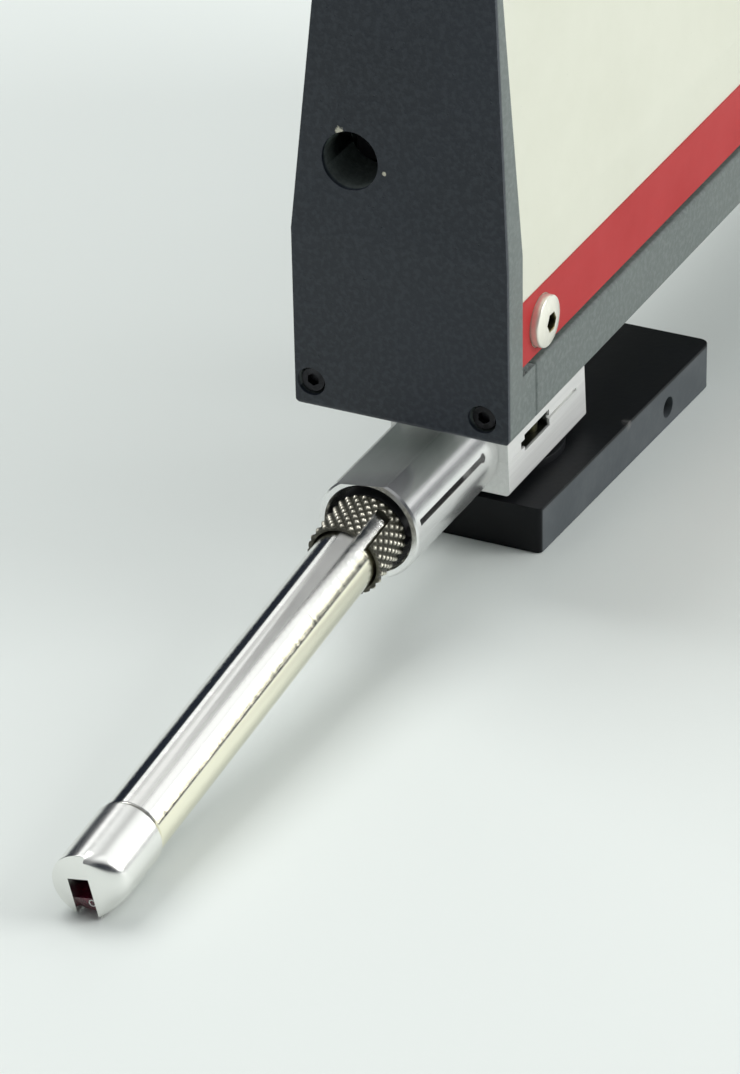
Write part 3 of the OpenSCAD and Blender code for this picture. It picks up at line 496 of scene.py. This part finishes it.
def worn_foot_paint_with_shade(name, dark):
    """Paint on a foot: near black above a height and on its front as painted shade, dusty grey on the lit sides,
    rubbed in spots.
    """
    paint = Finish(name)
    spot = paint.place()
    x, _, z = paint.axes(spot)
    # Painted shade: 1 above the given height and on the front face, where the foot lies in shade
    top = z.rise(*dark).at_least(x.rise(*FOOT_SHADED_FRONT))
    peel = paint.noise(spot, 1300.0, 3.0)
    dust = paint.noise(spot, 160.0, 5.0, 0.65)
    rub = (paint.noise(spot, 420.0, 4.0, 0.7) + dust * 0.5).rise(1.02, 1.1)
    patch = paint.away(spot, FOOT_RUB) + paint.noise(spot, 1900.0, 3.0) * RUB_EDGE
    rub = rub.at_least(patch.rise(*RUB_REACH) * 0.5)
    side = paint.mix(dust.rise(0.35, 0.75), (0.075, 0.086, 0.094), (0.105, 0.117, 0.125))
    # The near black is painted shade over the same paint as the grey sides
    shaded_black = paint.mix(dust.rise(0.35, 0.75), (0.002, 0.0025, 0.0035), (0.004, 0.005, 0.007))
    shade = paint.mix(rub, paint.mix(top, side, shaded_black), (0.30, 0.29, 0.28))
    return paint.close(
        shade, 0.42 + dust * 0.18, Metallic=rub * 0.5, Normal=paint.bump(peel - rub, 0.00004, 0.5),
        Specular_IOR_Level=0.25,
    )


def enamel(name, base, tint, shine=0.35):
    """Smooth printed sheet with a faint mottle and a few specks."""
    sheet = Finish(name)
    spot = sheet.place()
    mottle = sheet.noise(spot, 70.0, 5.0, 0.6).rise(0.25, 0.8)
    speck = sheet.noise(spot, 2300.0, 2.0).rise(0.72, 0.8)
    shade = sheet.mix(mottle, base, tint)
    shade = sheet.mix(speck * 0.25, shade, tuple(c * 0.6 for c in base))
    ripple = sheet.noise(spot, 500.0, 2.0)
    return sheet.close(
        shade, 0.40 + mottle * 0.08, Normal=sheet.bump(ripple, 0.00002, 0.25), Specular_IOR_Level=shine
    )


def satin_alloy(name, along, tone=(0.97, 0.97, 0.96), metal=0.9, shade_mask=None):
    """Bright machined aluminium: fine tool lines along one axis, dull smears and, if told where, painted shade."""
    alloy = Finish(name)
    spot = alloy.place()
    scale = tuple(60.0 if axis == along else 2600.0 for axis in "xyz")
    lines = alloy.noise(alloy.stretch(spot, scale), 1.0, 4.0, 0.6)
    smear = alloy.noise(spot, 260.0, 4.0, 0.6).rise(0.3, 0.75)
    shade = alloy.mix(lines.rise(0.3, 0.7), tuple(c * 0.92 for c in tone), tone)
    shade = alloy.mix(smear * 0.06, shade, (0.66, 0.66, 0.67))
    if shade_mask is not None:
        # Painted shade: near black where the shade mask is 1
        shade = alloy.mix(shade_mask(*alloy.axes(spot)), shade, (0.016, 0.017, 0.012))
    rough = 0.20 + smear * 0.03 + lines * 0.06
    return alloy.close(shade, rough, Metallic=metal, Normal=alloy.bump(lines, 0.00002, 0.35))


def slit_shade(x, y, z):
    """1 on the walls of the swivel block's saw slit and window, below the block's side, which are painted dark as
    shade.
    """
    depth = y + SLIT_Y - (z - SLIT_Z) * BLOCK_SLOPE
    window = abs(z - SLIT_Z).rise(*SLIT_HALF) * x.rise(*SLIT_BACK)
    return depth.rise(*SLIT_DEEP) * window * x.rise(*SLIT_FRONT)


def polished(name, tone, rough, scratch=0.2, grind=0.0000045, painted_reflections=False):
    """Polished metal ground in fine rings round the probe, with haze and hairline scratches.

    The painted reflections are a dulled, less metallic strip along the top of the tube, painted light that shows
    lighter than the reflected dark housing, and a cream tint on its near side as a painted reflection."""
    metal = Finish(name)
    spot = metal.place()
    x, y, z = metal.axes(spot)
    forward = PROBE.col[2]
    along = x * forward[0] + z * forward[2]
    rings = metal.add("ShaderNodeTexNoise", {"noise_dimensions": "1D"}, {"W": along, "Scale": 30000.0})
    hair = metal.noise(metal.stretch(spot, (90.0, 2600.0, 700.0)), 1.0, 5.0, 0.7).rise(0.62, 0.72)
    haze = metal.noise(spot, 130.0, 4.0).rise(0.3, 0.8)
    shade = metal.mix(haze, tone, tuple(c * 0.93 for c in tone))
    shine = 1.0
    if painted_reflections:
        def toward(direction, low, high):
            """1 where the skin faces a direction, by the cosines at which it starts and is full."""
            height = x * direction[0] + y * direction[1] + z * direction[2]
            return ((height - PROBE.translation.dot(direction)) / (TUBE_R * MM)).rise(low, high)
        # Painted light: the top is made less metallic, so the dark housing's reflection shows lighter there
        dull = toward(TUBE_LIGHTENED_TOP, *TUBE_LIGHTENED_TOP_FADE) * (0.8 + haze * 0.2)
        # Painted reflection: a cream tint on the side of the tube that faces the near side
        shade = metal.mix(toward(TUBE_CREAM_REFLECTION, *TUBE_CREAM_REFLECTION_FADE), shade, (0.97, 0.94, 0.77))
        shine = 1.0 - dull * 0.5
    return metal.close(
        shade, rough + haze * 0.05 + hair * scratch * 0.2, Metallic=shine,
        Normal=metal.bump(rings - hair * scratch, grind),
    )


def knurl_metal():
    """Knurled steel: worn bright points over grooves, coloured darker the deeper a point lies."""
    metal = Finish("knurl_metal")
    spot = metal.place()
    depth = metal.add("ShaderNodeAttribute", {"attribute_name": "knurl_height"}, out=2)
    grime = metal.noise(spot, 900.0, 4.0, 0.6)
    point = (depth + grime * 0.35 - 0.17).rise(0.35, 1.0)
    shade = metal.mix(point, (0.038, 0.037, 0.024), (0.76, 0.73, 0.62))
    return metal.close(
        shade, 0.45 - point * 0.2 + grime * 0.08, Metallic=0.35 + point * 0.65,
        Normal=metal.bump(grime, 0.00002, 0.3),
    )


def black_oxide():
    steel = Finish("black_oxide")
    spot = steel.place()
    film = steel.noise(spot, 700.0, 4.0, 0.6)
    shade = steel.mix(film.rise(0.3, 0.75), (0.012, 0.012, 0.014), (0.05, 0.05, 0.055))
    return steel.close(shade, 0.34 + film * 0.15, Metallic=0.8, Normal=steel.bump(film, 0.00002, 0.3))


def turned_brass(name, bright, dull, spread):
    """Turned copper alloy, dulled by tarnish over a share of its surface."""
    brass = Finish(name)
    spot = brass.place()
    lines = brass.noise(brass.stretch(spot, (300.0, 300.0, 3500.0)), 1.0, 3.0)
    tarnish = brass.noise(spot, 350.0, 4.0).rise(0.75 - spread, 1.15 - spread)
    shade = brass.mix(tarnish, bright, dull)
    return brass.close(shade, 0.26 + tarnish * 0.2, Metallic=1.0, Normal=brass.bump(lines, 0.00003, 0.4))


def moulded(name, base, rough=0.5):
    """Moulded plastic with a fine spark-eroded grain."""
    plastic = Finish(name)
    spot = plastic.place()
    texture = plastic.noise(spot, 1100.0, 3.0, 0.6)
    wear = plastic.noise(spot, 90.0, 4.0).rise(0.3, 0.8)
    shade = plastic.mix(wear * 0.5, base, tuple(min(1.0, c * 1.5 + 0.01) for c in base))
    return plastic.close(shade, rough + texture * 0.12, Normal=plastic.bump(texture, 0.00003, 0.5))


def board_green():
    """Solder mask over copper tracks, with a woven glass grain."""
    board = Finish("board_mask")
    spot = board.place()
    x, _, z = board.axes(spot)
    lanes = ((x * 900.0).math("SINE") * (z * 900.0).math("SINE")).rise(0.2, 0.45)
    weave = board.noise(board.stretch(spot, (1200.0, 200.0, 1200.0)), 1.0, 2.0)
    shade = board.mix(lanes, (0.012, 0.085, 0.035), (0.03, 0.16, 0.06))
    return board.close(shade, 0.35 + weave * 0.1, Normal=board.bump(lanes + weave * 0.3, 0.00004, 0.5))


def liquid_crystal():
    glass = Finish("liquid_crystal")
    spot = glass.place()
    sheen = glass.noise(spot, 60.0, 3.0).rise(0.3, 0.7)
    shade = glass.mix(sheen, (0.40, 0.44, 0.36), (0.46, 0.50, 0.42))
    return glass.close(shade, 0.22 + sheen * 0.05)


def clear_window():
    pane = Finish("clear_window")
    spot = pane.place()
    smear = pane.noise(spot, 120.0, 4.0).rise(0.4, 0.8)
    return pane.close(
        (0.95, 0.97, 0.97), 0.04 + smear * 0.08, Transmission_Weight=0.95, IOR=1.49,
        Alpha=0.35,
    )


def dark_ruby():
    """Polished dark red sapphire with a faint inner cloud."""
    stone = Finish("dark_ruby")
    spot = stone.place()
    cloud = stone.noise(spot, 1300.0, 3.0).rise(0.3, 0.75)
    shade = stone.mix(cloud, (0.075, 0.004, 0.014), (0.16, 0.012, 0.035))
    return stone.close(shade, 0.12 + cloud * 0.08, Coat_Weight=0.6, IOR=1.76)


def battery_wrap():
    wrap = Finish("battery_wrap")
    spot = wrap.place()
    x = wrap.axes(spot)[0]
    crease = wrap.noise(spot, 300.0, 4.0)
    shade = wrap.mix(x.rise(*WRAP_SPLIT), (0.025, 0.03, 0.05), (0.42, 0.24, 0.10))
    return wrap.close(shade, 0.3 + crease * 0.1, Normal=wrap.bump(crease, 0.00004, 0.3), Metallic=0.3)


# Probe and swivel

def tri(t):
    """Triangle wave: 0 at whole numbers, 1 half way between them."""
    return 1.0 - abs(2.0 * (t - math.floor(t)) - 1.0)


def slit_barrel(finish):
    """Thin barrel with a spigot behind it, two flats and three slits that end in drilled holes."""
    r, bore, rim, root, floor, ease = 6.0, 5.0, -31.1, -10.4, -16.5, 0.22
    spigot, spigot_end = 4.6, -3.4
    flats, flat_half = ((5.2, -8.0), (5.55, 180.0)), 9
    slit, hole, slit_end, rim_land, slit_turns = 0.35, 0.55, -14.1, 1, (75.0, -45.0, 195.0)
    slit_from = bore - 0.6
    profile = [
        (0, floor), (bore, floor), (bore, rim + ease), (bore + ease, rim), (r - ease, rim), (r, rim + ease),
        (r, root), (spigot, root), (spigot, spigot_end), (0, spigot_end),
    ]
    cutters = []
    axis = BARREL @ Matrix.Rotation(-QUARTER, 4, "Y")
    for height, roll in flats:
        tip = axis @ Matrix.Rotation(math.radians(roll), 4, "X")
        cutters.append(block((rim - OVER, -flat_half, height), (root, flat_half, height + flat_half), tip))
    for angle in slit_turns:
        tip = axis @ Matrix.Rotation(math.radians(angle), 4, "X")
        cutters.append(block((rim + rim_land, -slit, slit_from), (slit_end, slit, r + OVER), tip))
        drill = tip @ Matrix.Translation(Vector((slit_end, 0, 0)) * MM)
        cutters.append(rod(hole, slit_from, r + OVER, 24, drill))
    return piece("slit_barrel", cut(turned(profile, 192, BARREL), *cutters), finish, "probe_barrel")


def knurled_collar(finish):
    """Diamond-knurled cap with a lengthways slot; each point carries its height in the knurling."""
    r, bore, back, front, floor, lip = 4.45, 3.82, 1.0, 7.5, 1.2, 0.08
    deep, starts, lead, per_pitch, crest, ease = 0.34, 24, 1.4, 12, 1.2, 0.26
    front_ease, face_deep, face_height = 0.6 * ease, 0.2, 0.45
    slot_half, slot_turn = 0.9, math.radians(-48.0)

    def radius(s):
        skirt = r - max(0.0, ease - (s - back)) - max(0.0, front_ease - (front - s))

        def at(angle):
            u, v = starts * angle / (2 * math.pi), s / lead
            point = min(1.0, crest * min(tri(u + v), tri(u - v)))
            return min(skirt, r - deep + deep * point)
        return at

    steps = int((front - back) / lead * per_pitch)
    rows = [back + (front - back) * i / steps for i in range(steps + 1)]
    profile = [(0, back), *((radius(s), s) for s in rows)]
    profile += [(bore + lip, front), (bore, front - lip), (bore, back + floor), (0, back + floor)]
    slot = block(
        (bore - OVER, -slot_half, back + floor), (r + OVER, slot_half, front + OVER),
        PROBE @ Matrix.Rotation(slot_turn, 4, "Z"),
    )
    bm = cut(turned(profile, starts * per_pitch, PROBE), slot)
    height = bm.verts.layers.float.new("knurl_height")
    home = PROBE.inverted()
    for vert in bm.verts:
        reach = (home @ vert.co).to_2d().length / MM
        vert[height] = min(1.0, max(0.0, (reach - r + deep) / deep))
        if (home @ vert.co).z > (front - face_deep) * MM:
            vert[height] = face_height
    return piece("knurled_collar", bm, finish, "probe_collar", sharp=70.0)


def chrome_tube(finish):
    """Open tube from inside the collar to the nose."""
    r, wall, back, front, ease = TUBE_R, 0.6, 2.2, NOSE_BACK, 0.08
    profile = [
        (r - wall, back), (r - ease, back), (r, back + ease), (r, front - ease), (r - ease, front),
        (r - wall, front),
    ]
    return piece("chrome_tube", turned(profile, 192, PROBE, loop=True), finish, "probe_tube")


def polished_nose(finish):
    """Satin nose: a flat far half, a near half domed to a straight edge, and the slot between."""
    r, back, tip, wall, chamfer, score = NOSE_R, NOSE_BACK, NOSE_TIP, SLOT_NEAR, 0.6, 0.07
    spigot, spigot_back, score_step = TUBE_R - 0.6, NOSE_BACK - 3.0, 0.02
    dome, slant, edge_land, pinch_top, pinch_low = 2.8, 0.3, 0.03, 0.17, 0.14
    rim_ease, rim_deep, rim_wide, roof = 0.45, 0.01, 0.02, 0.9
    start, big = tip - dome, 2 * r
    root = [(0, spigot_back), (spigot, spigot_back), (spigot, back), (r - chamfer, back)]
    land = back + chamfer
    root += [(r - score, land - score_step), (r - score, land + score), (r, land + score)]
    far = turned([*root, (r, NOSE_FLAT), (0, NOSE_FLAT)], 160)
    near_room = block((-big, -big, spigot_back - OVER), (big, wall, tip + OVER))
    far_room = block((-big, wall, spigot_back - OVER), (big, big, tip + OVER))
    far = cut(far, near_room)

    def on_rim(spot):
        return spot.z > (NOSE_FLAT - rim_deep) * MM and spot.to_2d().length > (r - rim_wide) * MM

    rim = [e for e in far.edges if all(on_rim(v.co) for v in e.verts)]
    bmesh.ops.bevel(
        far, geom=rim, offset=rim_ease * MM, segments=4, profile=0.5, affect="EDGES", clamp_overlap=True,
    )
    arc = [math.radians(a) for a in range(0, 89, 4)]
    cap = [(r, start + dome * math.sin(a)) for a in arc]
    near = turned([*root, *cap, (0, cap[-1][1])], 160)
    for vert in near.verts:
        depth = min(1.0, (vert.co.z / MM - start) / dome)
        if depth > -1e-4:
            depth = max(0.0, depth)
            width = max(edge_land, math.sqrt(1.0 - depth * depth))
            vert.co.z = (tip - (dome - slant * vert.co.x / MM) * (1.0 - depth)) * MM
            vert.co.y = wall * MM + (vert.co.y - wall * MM) * width
            vert.co.x *= 1.0 - (pinch_top if vert.co.x > 0 else pinch_low) * (1.0 - width)
    near = cut(near, far_room)
    slot = block((-r - OVER, wall, SLOT_BACK), (roof, SLOT_FAR, tip + OVER))
    bm = cut(combine(near, [far], "UNION"), slot, stylus_pin_hole())
    bm.transform(PROBE)
    return piece("polished_nose", bm, finish, "probe_nose")


def stylus_pin_hole():
    """Cutter for the hole of the stylus arm's pin, across the slot."""
    pivot_up, hole_r, near, far = -0.9, 0.33, -1.6, 3.0
    spot = Matrix.Translation(Vector((pivot_up, 0, STYLUS_PIVOT)) * MM)
    return rod(hole_r, near, far, 32, spot @ Matrix.Rotation(-QUARTER, 4, "X"))


def ruby_skid(finish):
    """Dark red runner with a rounded toe, an arch below its front and the stylus hole."""
    inset, clear, toe, top, middle = 0.12, 0.01, 1.1, -1.7, 0.6
    arch_r, arch_from, hole_r, hole_s = 0.7, SKID_FRONT - 1.6, 0.6, STYLUS_PIVOT + 2.9
    r, back, front, near, far = NOSE_R - inset, SLOT_BACK, SKID_FRONT, SLOT_NEAR + clear, SLOT_FAR - clear
    profile = [(0, back), (r, back)]
    profile += [
        (r - toe + toe * math.cos(math.radians(a)), front - toe + toe * math.sin(math.radians(a)))
        for a in range(0, 91, 9)
    ]
    profile.append((0, front))
    room = block((-r - OVER, near, back), (top, far, front + OVER))
    below = Matrix.Translation(Vector((-r - inset, middle, 0)) * MM)
    arch = rod(arch_r, arch_from, front + OVER, 48, below)
    down = Matrix.Translation(Vector((0, middle, hole_s)) * MM) @ Matrix.Rotation(-QUARTER, 4, "Y")
    hole = rod(hole_r, 0, r + OVER, 48, down)
    bm = cut(combine(turned(profile, 192), [room], "INTERSECT"), arch, hole)
    bm.transform(PROBE)
    return piece("ruby_skid", bm, finish, "probe_skid", sharp=40.0)


def skid_ring(finish):
    """Small bright ring set in the front of the skid."""
    ring_r, wire, up, side, front = 0.36, 0.085, -2.25, 0.1, SKID_FRONT - 0.04
    profile = [
        (ring_r + wire * math.cos(math.radians(a)), wire * math.sin(math.radians(a)))
        for a in range(0, 360, 30)
    ]
    place = PROBE @ Matrix.Translation(Vector((up, side, front)) * MM)
    return piece("skid_ring", turned(profile, 40, place, loop=True), finish, "probe_skid", shown_for=False)


def slit_end():
    """Closes the front end of the swivel block's slit, a hair below its leaning side."""
    front, back, inner, half, sink = -10.37, -6.9, -4.2, 0.5, 0.03
    bm = block((front, sink - SLIT_Y / MM, SLIT_Z / MM - half), (back, inner, SLIT_Z / MM + half))
    for vert in bm.verts:
        if vert.co.y < inner * MM - MM:
            vert.co.y += (vert.co.z - SLIT_Z) * BLOCK_SLOPE
    return bm


# Picks of the points whose edges are eased, and of the points that take painted shade, in millimetres

def half_width(z):
    """From the middle of the housing to its side at a height."""
    return min(SIDE_Y, SIDE_Y - math.tan(math.radians(SIDE_LEAN)) * (z - BEND_Z))


def outside(x, y, z):
    """Near the housing's outer skin."""
    return abs(y) > half_width(z) - SKIN or z < UNDER_Z + SKIN or z > TOP_Z - SKIN


def plate_joint(x, y, z):
    return min(abs(x - FRONT_JOINT), abs(x - REAR_JOINT)) < JOINT_TOUCH and outside(x, y, z)


def front_sides(x, y, z):
    return x < FRONT_JOINT - FACE_AHEAD and abs(y) > half_width(z) - SIDE_TOUCH


def front_bores(x, y, z):
    inside = abs(y) < half_width(z) - BORE_IN and z < TOP_Z - BORE_UNDER
    return x < FRONT_JOINT - FACE_AHEAD and inside


def block_ends(x, y, z):
    return abs(x) > BLOCK_END


def shaded_screw_sockets(x, y, z):
    """Inside the hexagon sockets of the panel screws, which take painted shade."""
    return any(abs(x - a) < SOCKET_REACH and abs(z - c) < SOCKET_REACH for a, c in PANEL_SCREWS)


def rear_face(x, y, z):
    return x > REAR_FACE


SIDE_Y, SIDE_LEAN, BEND_Z, UNDER_Z, TOP_Z = 12.7, 4.4, 41.3, 19.8, 76.0
FRONT_JOINT, REAR_JOINT, REAR_FACE, BLOCK_END = -15.1, 112.5, 117.4, 10.38
SKIN, JOINT_TOUCH, SIDE_TOUCH, FACE_AHEAD, BORE_IN, BORE_UNDER = 1.6, 0.02, 0.03, 6.0, 0.5, 1.2
PANEL_SCREWS, SOCKET_REACH = ((-13.4, 31.1), (108.5, 31.1), (-6.4, 70.4), (108.5, 70.4)), 1.25


# Widths of the eased edges, in millimetres

SEAM, SIDE, HOLE, REAR, BLOCK, FOOT = 0.40, 0.40, 0.12, 0.30, 0.35, 0.40
DOOR, SCREW, SLIDER, BUTTON = 0.25, 0.14, 0.25, 0.35


# The dressed gauge

set_camera()
set_floor()
set_light()

stove_paint_and_shade = cast_paint_and_shade()
alloy = satin_alloy("satin_alloy", "x")
# The walls of the block's slit and window carry painted shade
block_alloy_with_slit_shade = satin_alloy("block_alloy_with_slit_shade", "x", (0.97, 0.97, 0.95), 0.3, slit_shade)
chrome = polished("bright_chrome", (0.90, 0.895, 0.86), 0.07, 0.08)
# The tube's finish carries painted light along its top and a painted reflection on its near side
tube_chrome_with_reflections = polished("tube_chrome_with_reflections", (0.90, 0.895, 0.86), 0.07, 0.02, painted_reflections=True)
nose_metal = polished("nose_metal", (0.90, 0.90, 0.87), 0.21, 0.3, 0.000003)
bright_steel = polished("bright_steel", (0.80, 0.80, 0.78), 0.18)
dark_steel = black_oxide()
brass = turned_brass("turned_brass", (0.74, 0.54, 0.24), (0.45, 0.33, 0.15), 0.40)
bronze = turned_brass("aged_bronze", (0.50, 0.42, 0.20), (0.060, 0.058, 0.030), 0.62)
plated = satin_alloy("plated_head", "z", (0.98, 0.96, 0.85), 0.5)

slit_barrel(alloy)
knurled_collar(knurl_metal())
chrome_tube(tube_chrome_with_reflections)
polished_nose(nose_metal)
ruby_skid(dark_ruby())
skid_ring(bright_steel)

dressed("housing", stove_paint_and_shade, (SEAM, plate_joint, False))
dressed("end_plate", stove_paint_and_shade, (SEAM, plate_joint, False), (SIDE, front_sides), (HOLE, front_bores))
dressed("rear_plate", stove_paint_and_shade, (REAR, plate_joint), (REAR, rear_face))
dressed("battery_door", stove_paint_and_shade, (DOOR,))
repaint(enamel("label_cream", (0.78, 0.79, 0.67), (0.74, 0.75, 0.63)), "face_panel")
repaint(enamel("strip_red", (0.52, 0.042, 0.045), (0.46, 0.034, 0.036), 0.12), "red_strip")
# The hexagon sockets take the dark bronze finish as painted shade
dressed("panel_screws", plated, (SCREW,), shade_recess=(bronze, shaded_screw_sockets))
repaint(bright_steel, "bracket_screws", "rear_foot_screws", "board_screws", "pivot_screw")
repaint(dark_steel, "end_screws", "rear_screws", "set_screw")
dressed("foot_bracket", worn_foot_paint_with_shade("foot_paint", FOOT_SHADE_FROM), (FOOT,))
dressed("rear_foot", worn_foot_paint_with_shade("rear_foot_paint_with_shade", REAR_FOOT_SHADE_FROM), (FOOT,))
dressed("swivel_block", block_alloy_with_slit_shade, (BLOCK, block_ends), filling=slit_end())
repaint(alloy, "carriage", "front_bracket", "drive_bracket")
repaint(chrome, "guide_rods", "lead_screw", "pivot_post", "detent_ball", "detent_spring")
repaint(chrome, "door_pin", "motor")
repaint(bronze, "clamp_screw")
repaint(brass, "lead_nut", "socket_contacts", "battery_contacts")
black_plastic = moulded("black_plastic", (0.018, 0.018, 0.02))
repaint(black_plastic, "limit_switch", "tilt_cradle", "board_parts", "output_jack")
dressed("unit_switch", black_plastic, (SLIDER,))
dressed("run_button", moulded("red_plastic", (0.36, 0.03, 0.03), 0.4), (BUTTON,))
dressed("power_button", moulded("grey_plastic", (0.16, 0.17, 0.18), 0.45), (BUTTON,))
repaint(moulded("gear_plastic", (0.62, 0.60, 0.52), 0.42), "drive_gear", "motor_pinion")
repaint(moulded("tan_ceramic", (0.42, 0.32, 0.20), 0.5), "pickup", "probe_plug")
repaint(board_green(), "main_board")
repaint(liquid_crystal(), "display_module")
repaint(clear_window(), "display_window")
repaint(battery_wrap(), "battery")
repaint(bright_steel, "stylus_arm", "stylus_tip")
